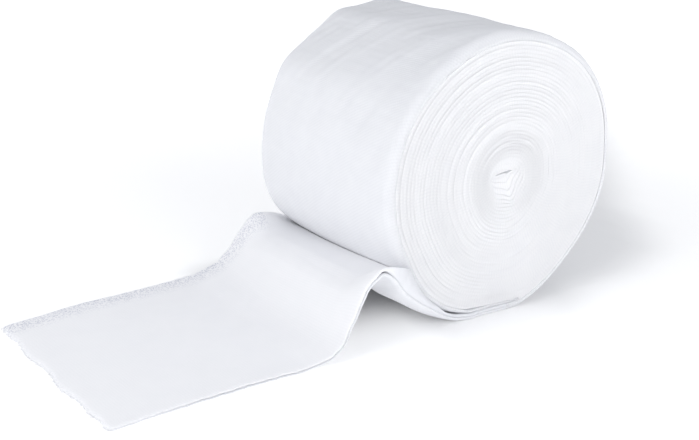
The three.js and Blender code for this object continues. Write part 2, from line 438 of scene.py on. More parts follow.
@dataclass(frozen=True)
class GauzeFinish:
    """Bleached cotton gauze, woven open from soft carded yarn: matt, slightly blue white and a little uneven.

    The weft lies 1.2 mm apart and the warp 0.9 mm, which is as coarse as it takes for the threads to show.
    """

    name: str
    stretch: Stretch = Stretch.WOUND
    thread: str = "#F6F6F8"
    # gap is painted shade in the low places between the threads
    gap: str = "#E8E9EE"
    # painted shade of what shows through the holes where the mesh is open
    hole_shade: str = "#C6C8D4"
    risen_painted_shade: str = "#EBECF0"  # painted shade on the front selvedge where the loose end rises to its fold
    rise_mm: Span = (72.0, 80.0)  # where along the cloth that part ends
    selvedge_mm: Span = (0.6, 2.4)  # and how far it reaches across
    weft_mm: float = 1.2
    warp_mm: float = 0.9
    warp_share: float = 0.38
    fuzz_mm: float = 0.5
    fuzz_share: float = 0.35
    relief_mm: float = 0.08
    skew: float = 32.0  # degrees that the threads run askew
    worn_mm: float = 14.0
    worn_levels: Span = (0.44, 0.6)  # of the noise, from threads worn flat to clear ones
    tight_mm: Span = (30.0, 85.0)  # the wound cloth is drawn tight, and flatter, low on the roll
    tight_relief: float = 0.25
    patch_mm: float = 9.0
    patch_share: float = 0.5
    cover_share: float = 0.35
    least_bright: float = 0.4
    holes_per_mm: float = 1.4
    hole_levels: Span = (0.6, 0.25)  # of the distance to a cell's middle, from cloth to open hole
    roughness: float = 0.92
    sheen: float = 0.08
    subsurface: float = 0.4
    scatter_mm: float = 2.5
    ior: float = 1.53  # cellulose

    def make(self) -> bpy.types.Material:
        """Builds the material."""
        material = bpy.data.materials.new(self.name)
        material.use_nodes = True
        tree = material.node_tree
        tree.nodes.clear()
        laid = add_node(tree, "ShaderNodeUVMap", uv_map=CLOTH_MAP).outputs["UV"]
        turned = (0.0, 0.0, math.radians(self.skew))
        flat = add_node(tree, "ShaderNodeMapping", {"Vector": laid, "Rotation": turned}).outputs["Vector"]
        place = add_node(tree, "ShaderNodeTexCoord").outputs["Object"]
        height, cover = self._threads(tree, flat, place)
        clear = self._clearness(tree, place)
        bump = add_node(
            tree, "ShaderNodeBump", {"Strength": clear, "Distance": self.relief_mm * MM, "Height": height}
        )
        shader = add_node(
            tree,
            "ShaderNodeBsdfPrincipled",
            {
                "Base Color": self._colour(tree, place, laid, flat, cover),
                "Normal": bump.outputs["Normal"],
                "Roughness": self.roughness,
                "IOR": self.ior,
                "Specular IOR Level": 0.25,
                "Sheen Weight": self.sheen,
                "Sheen Roughness": 0.6,
                "Subsurface Weight": self.subsurface,
                "Subsurface Scale": self.scatter_mm * MM,
                "Subsurface Radius": (1.0, 1.0, 1.0),
            },
        )
        add_node(tree, "ShaderNodeOutputMaterial", {"Surface": shader.outputs["BSDF"]})
        return material

    def _threads(self, tree: Tree, flat: Any, place: Any) -> tuple[Any, Any]:
        """Adds the two sets of threads and the fuzz.

        Args:
            tree: The material's tree.
            flat: The cloth map, turned by the skew of the threads.
            place: Object coordinates.

        Returns:
            The height of the surface, and how much of it a thread covers.
        """
        waves = []
        for axis, pitch, bend in (("X", self.weft_mm, 1.6), ("Y", self.warp_mm, 1.1)):
            wave = add_node(
                tree,
                "ShaderNodeTexWave",
                {
                    "Vector": flat,
                    # A wave texture of scale 1 repeats every pi / 10 units.
                    "Scale": math.pi / 10 / pitch,
                    "Distortion": bend,
                    "Detail": 2.0,
                    "Detail Scale": 0.35,
                    "Detail Roughness": 0.6,
                },
                bands_direction=axis,
            )
            waves.append(wave.outputs["Fac"])
        cover = blended(tree, Kind.FLOAT, self.warp_share, *waves)
        fuzz = clouded(tree, place, self.fuzz_mm, 3.0)
        return blended(tree, Kind.FLOAT, self.fuzz_share, cover, fuzz), cover

    def _clearness(self, tree: Tree, place: Any) -> Any:
        """Adds how clearly the threads stand out: in patches, and less where the cloth is drawn tight.

        Args:
            tree: The material's tree.
            place: Object coordinates.

        Returns:
            The socket of a number from 0 to 1.
        """
        above = add_node(tree, "ShaderNodeSeparateXYZ", {0: place}).outputs["Z"]
        low, high = (height * MM for height in self.tight_mm)
        most = ranged(tree, above, low, high, self.tight_relief if self.stretch is Stretch.WOUND else 1.0)
        worn = clouded(tree, place, self.worn_mm, 1.0)
        return ranged(tree, worn, *self.worn_levels, 0.0, most)

    def _colour(self, tree: Tree, place: Any, laid: Any, flat: Any, cover: Any) -> Any:
        """Adds the colour: threads over the painted shade of the gaps between them, slow patches, painted shade on
        the front selvedge where a lying cloth rises, and dark specks of painted shade where the mesh is open.

        Args:
            tree: The material's tree.
            place: Object coordinates.
            laid: The cloth map.
            flat: The cloth map, turned by the skew of the threads.
            cover: How much of the surface a thread covers.

        Returns:
            The colour socket.
        """
        # Painted shade between the threads: darker where a thread covers less. The slow patches are random unevenness
        # of the cloth's tone.
        shown = calculated(tree, "MULTIPLY_ADD", cover, self.cover_share, self.least_bright)
        patches = clouded(tree, place, self.patch_mm, 2.0)
        uneven = calculated(tree, "MULTIPLY_ADD", patches, self.patch_share, shown)
        woven = blended(tree, Kind.RGBA, uneven, linear(self.gap), linear(self.thread))
        # Painted shade: the front selvedge where the loose end rises to its fold is darkened by its place on the
        # cloth.
        if self.stretch is Stretch.LYING:
            spot = add_node(tree, "ShaderNodeSeparateXYZ", {0: laid}).outputs
            limits = (("X", self.rise_mm), ("Y", self.selvedge_mm))
            shares = (ranged(tree, spot[axis], low, high, 1.0, 0.0) for axis, (low, high) in limits)
            rising = calculated(tree, "MULTIPLY", *shares)
            woven = blended(tree, Kind.RGBA, rising, woven, linear(self.risen_painted_shade))
        # Painted shade: the holes of the open mesh are darkened for the shaded floor that would show through them.
        cells = add_node(tree, "ShaderNodeTexVoronoi", {"Vector": flat, "Scale": self.holes_per_mm})
        hole_shade = ranged(tree, cells.outputs["Distance"], *self.hole_levels)
        opened = add_node(tree, "ShaderNodeAttribute", attribute_name=OPENNESS).outputs["Fac"]
        return blended(tree, Kind.RGBA, calculated(tree, "MULTIPLY", hole_shade, opened), woven, linear(self.hole_shade))


@dataclass(frozen=True)
class RollForm:
    """The form of the wound roll, with the values of the part's source."""

    cloth_width: float = 100.0
    turn_pitch: float = 1.6
    outer_turn_step: float = 2.0
    radius: float = 61.6
    axis_height: float = 61.4
    bottom: float = 3.1
    pressed_pitch: float = 1.25  # of the turns that the roll's weight presses flat
    take_off_angle: float = -84.0
    rim_rounding: float = 4.0
    pressed: Bell = Bell(278, 1, 24)  # where the roll's weight presses its rims flat
    last_turn: float = 38.06
    front_lobes: tuple[Bell, ...] = (
        Bell(152, 0.9, 18), Bell(78, -0.9, 14), Bell(8, -1.0, 9), Bell(-48, -1.6, 16), Bell(-124, 1.4, 13),
        Bell(-152, -0.9, 10),
    )
    back_lobes: tuple[Bell, ...] = (
        Bell(170, 2.2, 26), Bell(146, 1.8, 6), Bell(113, 1.8, 5), Bell(89, 1.0, 5), Bell(-155, 4.2, 14),
    )
    crown: tuple[Bell, ...] = (Bell(80, 0.5, 35), Bell(-160, 0.4, 60))
    relief: tuple[tuple[float, float], ...] = (
        (0.0, -1.5), (0.08, -0.9), (0.2, 0.4), (0.5, 0.9), (0.8, 0.5), (1.0, 0.0),
    )
    # The slit in the middle of the coreless roll, and the kinks round it.
    slit_angle: float = 10.0
    slit_stretch: float = 1.3
    slit_squeeze: float = 0.8
    slit_shift: tuple[float, float] = (-2.6, 2.3)
    slit_reach: tuple[float, float, float] = (5.0, 7.0, 9.0)  # radii that stretch, squeeze and shift fade over
    loose_angle: float = 25.0  # where the outer turns lie a little apart
    loose_reach: Span = (50.0, 10.0)  # degrees away, from close turns to loose ones
    loose_share: float = 0.01  # of a turn's thickness
    kinks: tuple[CoreKink, ...] = (
        CoreKink(7.0, 2.6, -72, 15, 1.8), CoreKink(4.5, 1.8, -35, 20, -0.7), CoreKink(9.5, 3.0, -112, 14, 0.9),
        CoreKink(11.0, 3.0, -66, 12, 1.2), CoreKink(6.0, 2.5, 130, 25, 0.5),
    )

    def angle(self, turn: Array) -> Array:
        """Returns the angle round the roll, in degrees, after some turns from the take-off."""
        return self.take_off_angle + 360.0 * turn

    def looseness(self, turn: Array) -> Array:
        """Returns what the gap under the outer turns gains at the right of the front face."""
        return self.loose_share * ease(*self.loose_reach, np.abs(angle_from(self.angle(turn), self.loose_angle)))

    def mean_radius(self, turn: Array) -> Array:
        """Returns the radius of the spiral without its lobes."""
        outer = self.radius + self.outer_turn_step * (0.5 - np.minimum(turn, 1.0))
        return outer - self.turn_pitch * np.maximum(turn - 1.0, 0.0)

    def surface(self, turn: Array, y: Array, out: Array | float = 0.0) -> Array:
        """Returns points of the outer side of the wound cloth.

        Args:
            turn: Turns from the take-off, inwards.
            y: Place along the axis.
            out: How far the point is lifted off that surface.

        Returns:
            The points, with a last axis of three.
        """
        angle = self.angle(turn)
        mean = self.mean_radius(turn)
        back = y / self.cloth_width + 0.5
        lobes = mix(swelling(self.front_lobes, angle), swelling(self.back_lobes, angle), back)
        lobes = lobes + swelling(self.crown, angle) * (1 - (2 * back - 1) ** 2)
        radius = mean + lobes * mean / self.radius
        for kink in self.kinks:
            at = bell(angle_from(angle, kink.angle), kink.spread) * bell(radius - kink.radius, kink.width)
            radius = radius + kink.rise * at
        radius = radius + out
        # The innermost turns are pressed together across the slit.
        turned = np.radians(angle - self.slit_angle)
        stretched, squeezed, shifted = (np.exp(-((radius / reach) ** 2)) for reach in self.slit_reach)
        along = radius * np.cos(turned) * (1 + self.slit_stretch * stretched)
        over = radius * np.sin(turned) * (1 - self.slit_squeeze * squeezed)
        c, s = math.cos(math.radians(self.slit_angle)), math.sin(math.radians(self.slit_angle))
        x = c * along - s * over + self.slit_shift[0] * shifted
        z = self.axis_height + s * along + c * over + self.slit_shift[1] * shifted
        floor = np.where(turn < 0.5, 0.0, self.bottom + self.pressed_pitch * np.maximum(turn - 1.0, 0.0))
        z = np.maximum(z, floor)
        return np.stack(np.broadcast_arrays(x, y, z), -1)

    def face_relief(self, turn: Array) -> Array:
        """Returns how far the end faces stand out.

        Args:
            turn: Turns from the take-off, inwards.

        Returns:
            The height of the end faces at each turn, less than 0 where they are dished.
        """
        share = np.clip(self.mean_radius(turn) / (self.radius - self.rim_rounding), 0.0, 1.0)
        out = np.full_like(share, self.relief[0][1])
        for (inner, low), (outer, high) in zip(self.relief, self.relief[1:]):
            out = np.where(share >= inner, mix(low, high, ease(inner, outer, share)), out)
        return out

    def droop(self, from_end: Array) -> Array:
        """Returns how far the cloth bends in towards the axis at its rounded rim.

        Args:
            from_end: Distances from the end plane.

        Returns:
            The bend at each distance.
        """
        r = self.rim_rounding
        inside = np.clip(from_end, 0.35, r)
        return r - np.sqrt(r * r - (r - inside) ** 2)

    def rim_bend(self, turn: Array) -> Array:
        """Returns how much of a rim's bend is left: 1, but 0 where the roll's weight presses it flat.

        Args:
            turn: Turns from the take-off.

        Returns:
            The share at each turn.
        """
        return 1 - bell(angle_from(self.angle(turn), self.pressed.angle), self.pressed.spread)


@dataclass
class WoundTurns:
    """The wound cloth under the outermost turn: one strip, which a node tree sweeps along its spiral."""

    form: RollForm
    finish: GauzeFinish
    step: float = 1.42  # along the cloth
    least_steps: int = 36  # round a turn
    gap_share: float = 0.006
    loose_turns: Span = (3.4, 2.6)  # on the spiral, from close turns to loose ones
    slant: float = 0.65  # of the way from one turn's edge to the next one's that the edge itself makes up
    ring_patches: tuple[FaceArc, ...] = (
        FaceArc(0.38, 0.07, 232, 40, 0.6), FaceArc(0.2, 0.09, 250, 80, 0.65),
        FaceArc(0.78, 0.05, 205, 30, 0.45), FaceArc(0.72, 0.06, 60, 40, 0.2), FaceArc(0.55, 0.06, 100, 40, 0.2),
        FaceArc(1.0, 0.03, 25, 45, 0.4),
    )
    least_ring: float = 0.02
    stray_ring: float = 0.13
    wander: float = 0.03  # of the edges
    turn_offset: float = 0.02  # of one turn from the next
    unevenness: float = 0.16  # of the whole face
    rim_step: float = 0.35  # of the turns next to the rim
    rim_step_spared: Bell = Bell(10, 0.75, 50)  # where it is lower
    arcs: tuple[FaceArc, ...] = (
        FaceArc(0.76, 0.05, 42, 30, -0.4), FaceArc(0.80, 0.03, 128, 28, 0.22),
        FaceArc(0.62, 0.03, 120, 24, 0.2), FaceArc(0.36, 0.03, 225, 26, -0.25),
        FaceArc(0.42, 0.025, 232, 20, 0.2), FaceArc(0.78, 0.015, 205, 24, -0.3),
        FaceArc(0.74, 0.015, 208, 22, 0.2), FaceArc(0.9, 0.03, 150, 30, 0.15),
    )
    # The profile of the strip's edge, from its outer side to its inner one: how deep into the cloth each point
    # lies, as a share of its thickness, and how far from the edge.
    profile: tuple[tuple[float, float], ...] = (
        (0.0, 4.2), (0.0, 2.0), (0.0, 0.3), (0.03, 0.12), (0.12, 0.0), (0.88, 0.0), (0.97, 0.12),
        (1.0, 0.3), (1.0, 3.0),
    )

    def turns(self) -> Array:
        """Returns the places of the path's points, in turns."""
        places = [1.0]
        while places[-1] < self.form.last_turn - 1.0:
            radius = float(self.form.mean_radius(np.array(places[-1])))
            around = 2 * math.pi * radius
            places.append(places[-1] + min(self.step / around, 1 / self.least_steps))
        return np.array(places)

    def edge(self, turn: Array, side: int) -> Array:
        """Returns where an edge of the strip lies along the axis.

        Args:
            turn: Places on the spiral.
            side: -1 for the front end face, 1 for the back one.

        Returns:
            The place of the edge, in millimetres.
        """
        form, none = self.form, np.zeros_like(turn)
        angle = form.angle(turn)
        share = form.mean_radius(turn) / form.radius
        seed = 11 if side < 0 else 12
        length = turn * 2 * math.pi * form.mean_radius(turn)
        out = on_face(form.face_relief(turn), self.arcs, angle, share, side)
        out = out + self.wander * cloth_noise(length, none, (7.0, 1.0), seed)
        out = out + self.turn_offset * cloth_noise(turn * 1.3, none, (1.0, 1.0), seed + 2)
        slow = cloth_noise(share * 7.0, angle / 60.0, (1.0, 1.0), seed + 4)
        out = out + self.unevenness * slow * ease(0.05, 0.3, share)
        # The three turns next to the rim lie a little further in each, least at the right.
        spared = self.rim_step_spared
        stepped = 1 - spared.rise * bell(angle_from(angle, spared.angle), spared.spread)
        out = out - self.rim_step * ease(0.93, 1.0, share) * stepped
        return side * (form.cloth_width / 2 + out)

    def rings(self, turn: Array, side: int) -> Array:
        """Returns how clearly each turn's edge shows in an end face, from 0 to 1.

        Args:
            turn: Places on the spiral.
            side: -1 for the front end face, 1 for the back one.

        Returns:
            The clearness at each place.
        """
        angle, share = self.form.angle(turn), self.form.mean_radius(turn) / self.form.radius
        stray = np.maximum(cloth_noise(share * 12.0, angle / 50.0, (1.0, 1.0), 17 + side), 0.0)
        seen = self.least_ring + self.stray_ring * stray
        return np.minimum(on_face(seen, self.ring_patches, angle, share, side), 1.0)

    def sweep(self) -> Tree:
        """Builds the node tree that sweeps the profile along the spiral."""
        tree = started_group("Wound cloth", (("Path", "Geometry"), ("Profile", "Object"), ("Gauze", "Material")))
        given = add_node(tree, "NodeGroupInput").outputs
        profile = add_node(tree, "GeometryNodeObjectInfo", {"Object": given["Profile"]}).outputs["Geometry"]
        path, section = (
            add_node(tree, "GeometryNodeMeshToCurve", {"Mesh": mesh}).outputs["Curve"]
            for mesh in (given["Path"], profile)
        )
        strip = add_node(
            tree, "GeometryNodeCurveToMesh", {"Curve": path, "Profile Curve": section, "Fill Caps": True}
        ).outputs["Mesh"]

        def value(name: str, kind: Kind = Kind.FLOAT) -> Any:
            """Returns a named value of the strip's points."""
            data_type = "FLOAT" if kind is Kind.FLOAT else "FLOAT_VECTOR"
            return add_node(tree, "GeometryNodeInputNamedAttribute", {"Name": name}, data_type=data_type).outputs[0]

        depth, across = value("depth"), value("across")
        front, back = (
            blended(tree, Kind.VECTOR, depth, value(f"{end}_outer", Kind.VECTOR), value(f"{end}_inner", Kind.VECTOR))
            for end in ("front", "back")
        )
        place = blended(tree, Kind.VECTOR, across, front, back)
        drop = calculated(tree, "MULTIPLY", value("droop"), value("bends"))
        links = {0: value("inward", Kind.VECTOR), "Scale": drop}
        bend = add_node(tree, "ShaderNodeVectorMath", links, operation="SCALE").outputs[0]
        clear = blended(tree, Kind.FLOAT, across, value("front_rings"), value("back_rings"))
        notch = calculated(tree, "MULTIPLY", value("notch"), clear)
        edge = calculated(tree, "ADD", value("inset"), notch)
        inset = add_node(tree, "ShaderNodeCombineXYZ", {"Y": edge}).outputs[0]
        moved = add_node(tree, "ShaderNodeVectorMath", {0: bend, 1: inset}, operation="ADD").outputs[0]
        ended = add_node(tree, "ShaderNodeVectorMath", {0: place, 1: moved}, operation="ADD").outputs[0]
        shaped = add_node(tree, "GeometryNodeSetPosition", {"Geometry": strip, "Position": ended})
        wide = calculated(tree, "MULTIPLY", across, self.form.cloth_width)
        flat = add_node(tree, "ShaderNodeCombineXYZ", {"X": value("along"), "Y": wide}).outputs[0]
        mapped = add_node(
            tree,
            "GeometryNodeStoreNamedAttribute",
            {"Geometry": shaped.outputs["Geometry"], "Name": CLOTH_MAP, 3: flat},
            data_type="FLOAT2",
            domain="CORNER",
        )
        end_group(tree, mapped.outputs["Geometry"], given["Gauze"])
        return tree

    def path(self) -> tuple[bpy.types.Object, float]:
        """Makes the path of the strip, with the corners of its section at each point.

        Returns:
            The path, and the length of the strip in millimetres.
        """
        form, turn = self.form, self.turns()
        gap = self.gap_share + form.looseness(turn) * ease(*self.loose_turns, turn)
        values = {}
        for end, side in (("front", -1), ("back", 1)):
            y = self.edge(turn, side)
            inner_y = mix(y, self.edge(turn + 1.0, side), self.slant)
            outer, next_turn = form.surface(turn, y), form.surface(turn + 1.0, inner_y)
            values[f"{end}_outer"] = outer * MM
            values[f"{end}_inner"] = mix(outer, next_turn, (1 - gap)[:, None]) * MM
            values[f"{end}_rings"] = self.rings(turn, side)
        outer = values["front_outer"]
        inward = -outer + np.array([0.0, 0.0, form.axis_height * MM])
        inward[:, 1] = 0.0
        values["inward"] = inward / np.linalg.norm(inward, axis=1, keepdims=True)
        length = np.concatenate([[0.0], np.cumsum(np.linalg.norm(np.diff(outer, axis=0), axis=1))]) / MM
        values["bends"] = ease(8.0, 25.0, form.mean_radius(turn)) * form.rim_bend(turn)
        values["along"] = length
        return line_object("wound_path", outer, False, values), float(length[-1])

    def section(self) -> bpy.types.Object:
        """Makes the section of the strip, a closed line that tells each point's place on the strip."""
        front = np.array(self.profile)
        depth, from_edge = np.concatenate([front, front[::-1]]).T
        sign = np.repeat([1.0, -1.0], len(front))
        spots = np.stack([depth - 0.5, sign * (from_edge - self.form.cloth_width / 2), 0 * sign], -1) * MM
        far = from_edge > 1.0
        values = {
            "depth": depth,
            "across": np.where(sign > 0, 0.0, 1.0),
            "inset": sign * np.where(far, from_edge, 0.0) * MM,
            "notch": sign * np.where(far, 0.0, from_edge) * MM,
            "droop": self.form.droop(from_edge) * MM,
        }
        return line_object("strip_section", spots, True, values)

    def build(self) -> bpy.types.Object:
        """Builds the piece."""
        path, length = self.path()
        section = self.section()
        gauze = self.finish.make()
        mesh = grown(path, self.sweep(), {"Profile": section, "Gauze": gauze})
        bpy.data.objects.remove(section)
        mesh.attributes.new(OPENNESS, "FLOAT", "POINT")
        piece = add_piece("wound_turns", mesh, gauze, "wound_roll")
        return piece


@dataclass
class OuterTurn:
    """The outermost turn, a crinkled cloth drawn over the wound ones, with its back edge set in from the rim."""

    form: RollForm
    finish: GauzeFinish
    rows: int = 430
    overlap: float = 0.02  # the part of a turn that goes on under its own start
    thin_share: float = 0.97
    start_share: float = 0.903  # where it starts, as thick as the cloth that lies under the roll
    edge_steps: tuple[float, ...] = (0.0, 0.12, 0.35, 0.8, 1.4, 2.1, 3.0, 4.0)
    middle_steps: int = 84
    set_back: tuple[Bell, ...] = (Bell(128, 2.4, 17), Bell(206, 2.3, 15), Bell(60, 0.8, 20))
    layers: tuple[Crinkle, ...] = (
        Crinkle(0.3, 0.0, 40.0, 34.0, 21), Crinkle(0.08, 0.5, 44.0, 8.0, 22, 24),
        Crinkle(0.06, 0.26, 20.0, 3.4, 23, 27), Crinkle(0.04, 0.06, 1.7, 13.0, 24),
    )
    top: Bell = Bell(100, 1, 38)  # where the crinkles are highest
    smooth: Bell = Bell(235, 0.8, 30)  # where they fade
    edge_wander: float = 0.18  # of the front edge
    edge_waver: float = 0.3  # of the back edge
    edge_insets: tuple[float, float] = (0.1, 0.5)  # of the front and the back edge

    def crinkles(self, turn: Array, y: Array) -> Array:
        """Returns how far the crinkles lift the cloth.

        Args:
            turn: Places round the roll, in turns.
            y: Places along the axis.

        Returns:
            The height of the crinkled surface.
        """
        angle = self.form.angle(turn)
        top = bell(angle_from(angle, self.top.angle), self.top.spread)
        height = crinkled(self.layers, turn * 2 * math.pi * self.form.radius, y, top)
        return height * (1 - self.smooth.rise * bell(angle_from(angle, self.smooth.angle), self.smooth.spread))

    def grid(self, turn: Array, started: Array) -> tuple[Array, Array, Array]:
        """Lays out the cloth along the axis, with close steps at its two edges.

        Args:
            turn: Places round the roll, in a column.
            started: How far each place is past the cloth's square start, from 0 to 1.

        Returns:
            The places along the axis, how far each is from the nearer edge, and the length round the roll.
        """
        form = self.form
        length = turn * 2 * math.pi * form.radius
        wander = self.edge_wander * cloth_noise(length, 0 * length, (6.0, 1.0), 31)
        front = -form.cloth_width / 2 + (self.edge_insets[0] + wander) * started
        waver = self.edge_waver * cloth_noise(length, 0 * length, (5.0, 1.0), 32)
        set_back = self.edge_insets[1] + swelling(self.set_back, form.angle(turn)) + waver
        back = form.cloth_width / 2 - set_back * started
        steps = np.array(self.edge_steps)
        left, right = front + steps, back - steps[::-1]
        middle = mix(left[:, -1:], right[:, :1], np.linspace(0.0, 1.0, self.middle_steps)[1:-1])
        y = np.concatenate([left, middle, right], axis=1)
        return y, np.minimum(y - front, back - y), np.broadcast_to(length, y.shape)

    def build(self) -> bpy.types.Object:
        """Builds the piece."""
        form = self.form
        turn = np.linspace(0.0, 1.0 + self.overlap, self.rows)[:, None]
        started = ease(0.0, 0.05, turn)
        y, from_edge, length = self.grid(turn, started)
        turn = np.broadcast_to(turn, y.shape)
        droop = form.droop(form.cloth_width / 2 - np.abs(y)) * 0.99 * form.rim_bend(turn)
        lift = self.crinkles(turn, y) * ease(0.0, 3.0, from_edge) * started
        outer, next_turn = form.surface(turn, y), form.surface(turn + 1.0, y)
        reach = mix(self.start_share, self.thin_share, started) - form.looseness(turn)
        inner = mix(outer, next_turn, reach[..., None])
        towards = form.surface(turn, y, -1.0) - form.surface(turn, y)
        thick = np.linalg.norm(inner - outer, axis=-1)
        pinch = mix(0.23, 0.2, started) * thick * rounded(from_edge, mix(0.55, 0.8, started))
        outer = outer + towards * (droop - lift + pinch)[..., None]
        inner = inner + towards * (droop - pinch)[..., None]
        outer[..., 2] = np.maximum(outer[..., 2], 0.0)
        sheet = Sheet(outer, inner, length, y, np.zeros(y.shape))
        piece = add_piece("outer_turn", sheet_mesh("outer_turn", sheet), self.finish.make(), "wound_roll")
        return piece


@dataclass
class LooseEnd:
    """The drawn-out end: two thin plies over the folds of their two selvedges, and the threads of the cut."""

    form: RollForm
    finish: GauzeFinish
    # the lower ply's finish, a darker copy of the upper one's: painted shade under the fold
    under_painted_shade_finish: GauzeFinish
    thread_finish: GauzeFinish
    front: tuple[FoldRow, ...] = fold_rows(
        (7.4, -50, 1.4, 2.8, 0), (-6, -50, 1.4, 2.8, 0), (-16, -50, 1.4, 2.8, 0), (-22, -50, 1.5, 2.8, 1),
        (-27.6, -50, 3.2, 2.8, 1.3), (-37.3, -50.3, 7.7, 2.8, 2.7), (-46.2, -50.8, 13.4, 2.8, 3),
        (-53.9, -51.6, 20.1, 3, 3), (-58.1, -52.3, 27.2, 3.2, 1.8), (-63.5, -53, 32.3, 3.4, 0.3),
        (-69.6, -53.8, 29.5, 2.4, 0), (-73.5, -54.4, 24.8, 2.2, 0), (-78.2, -55, 15.4, 2, 0),
        (-81.4, -55.3, 8.7, 1.8, 0), (-86, -55.5, 4, 1.6, 0), (-93, -55.5, 1.5, 1.4, 0),
        (-104, -55.4, 0.7, 1.4, 0), (-126, -55.6, 0.7, 1.4, 0), (-151, -56.6, 0.7, 1.4, 0),
        (-176.8, -58.4, 0.7, 1.4, 0),
    )
    back: tuple[FoldRow, ...] = fold_rows(
        (7.4, 50, 1.4, 2.8, 0), (-6, 50, 1.4, 2.8, 0), (-16, 50, 1.4, 2.8, 0), (-22, 50, 1.5, 2.8, 1),
        (-27.6, 50, 2.9, 2.8, 1.5), (-37.3, 50, 8.2, 2.6, 1.5), (-45.1, 50, 14.4, 2.6, 1.5),
        (-51.3, 50, 19.7, 2.6, 0.8), (-56.2, 49.8, 22.7, 2.4, 0), (-64.5, 49.5, 24.8, 2.2, 0),
        (-68.9, 49.2, 23.4, 2, 0), (-74, 48.8, 18.3, 2, 0), (-78.6, 48.3, 12.6, 1.8, 0),
        (-83.2, 47.8, 8, 1.8, 0), (-87.3, 47.2, 4.6, 1.6, 0), (-97, 45.8, 2.3, 1.4, 0),
        (-108, 45.2, 0.7, 1.4, 0), (-130, 42.4, 0.7, 1.4, 0), (-157, 40, 0.7, 1.4, 0), (-188, 34, 0.7, 1.4, 0),
    )
    scallops: tuple[Scallop, ...] = (
        Scallop(0.03, 0.5, 0.03), Scallop(0.18, 0.7, 0.05), Scallop(0.39, 2.0, 0.07), Scallop(0.69, 1.6, 0.08),
        Scallop(0.93, 1.4, 0.04),
    )
    ripples: tuple[Crinkle, ...] = (
        Crinkle(0.32, 0.0, 42.0, 55.0, 41), Crinkle(0.10, 0.0, 11.0, 26.0, 42, -20.0),
        Crinkle(0.035, 0.0, 2.2, 20.0, 43),
    )
    wavers: tuple[Crinkle, ...] = (Crinkle(0.35, 0.0, 7.0, 500.0, 44), Crinkle(0.22, 0.0, 2.2, 500.0, 45))
    waver_reach: float = 7.0  # from each selvedge
    nicks: tuple[Crinkle, ...] = (Crinkle(0.35, 0.0, 2.0, 1.0, 46), Crinkle(0.25, 0.0, 0.9, 1.0, 47))
    curl_share: float = 0.06
    steps_along: int = 300
    steps_across: int = 96
    edge_steps: tuple[float, ...] = (0.0, 0.0015, 0.005, 0.012, 0.022, 0.034, 0.048, 0.066)  # shares of the width
    between_plies: float = 0.04
    edge_radius: float = 0.55
    parted_row: float = 8.9  # the row of the front selvedge where the plies part
    parted: float = 0.8  # how far they part
    lying_rows: Span = (15.0, 17.0)  # where the cloth comes to lie on the table
    thread_count: int = 260
    thread_length: float = 0.9
    thread_radius: float = 0.08
    # The least and the most that a thread is aimed off the cut's own way, rolled, and shifted, in metres.
    thread_aims: tuple[Place, Place] = ((-0.7, -0.7, -0.12), (0.7, 0.7, 0.25))
    thread_rolls: tuple[Place, Place] = ((-3.1, 0, 0), (3.1, 0, 0))
    thread_shifts: tuple[Place, Place] = ((-0.0004, -0.0003, -0.0003), (0.0003, 0.0003, 0.0003))
    barrel_clearance: float = 0.3
    contact: tuple[float, float] = (23.9, -0.105)  # height at y 0, and its slope along y
    climb_rows: tuple[float, float, float] = (3.9, 5.0, 9.0)  # where the cloth meets the roll, lies on it, crests
    shelf_bend: float = 0.62
    sag: float = 7.0  # of the crest between the selvedges
    crest_row: float = 9.0
    crest_rows: float = 1.6  # how many rows the sag spreads over
    sag_sides: Span = (0.16, 0.86)  # shares of the width between which the sag is full
    scallop_reach: float = 14.0  # of the scallops from the cut
    open_mm: Span = (13.0, 3.0)  # from the back selvedge, from dense cloth to open mesh
    open_rows: Span = (8.3, 9.0)
    cut_openness: float = 0.25
    ripple_rows: Span = (8.6, 10.0)  # where the fold starts to ripple
    resting_height: float = 0.02

    def selvedge(self, rows: Sequence[FoldRow], along: Array) -> tuple[Array, Array, Array]:
        """Follows a selvedge as a centripetal Catmull-Rom curve, as the part's source does.

        Args:
            rows: The selvedge's rows.
            along: Shares of the way along it.

        Returns:
            The points, their ways, and the thickness and curl in two columns.
        """
        given = np.array(rows, float)
        p = given[:, :3]
        p = np.concatenate([2 * p[:1] - p[1:2], p, 2 * p[-1:] - p[-2:-1]])
        last = len(rows) - 1
        row = np.minimum((along * last).astype(int), last - 1)
        t = (along * last - row)[:, None]
        p0, p1, p2, p3 = (p[row + k] for k in range(4))
        d0, d1, d2 = (
            np.sqrt(np.linalg.norm(b - a, axis=1))[:, None] for a, b in ((p0, p1), (p1, p2), (p2, p3))
        )
        start = ((p1 - p0) / d0 - (p2 - p0) / (d0 + d1) + (p2 - p1) / d1) * d1
        stop = ((p2 - p1) / d1 - (p3 - p1) / (d1 + d2) + (p3 - p2) / d2) * d1
        square, cube = -3 * p1 + 3 * p2 - 2 * start - stop, 2 * p1 - 2 * p2 + start + stop
        points = p1 + start * t + square * t**2 + cube * t**3
        ways = start + 2 * square * t + 3 * cube * t**2
        ways /= np.linalg.norm(ways, axis=1, keepdims=True)
        return points, ways, mix(given[row, 3:], given[row + 1, 3:], t)

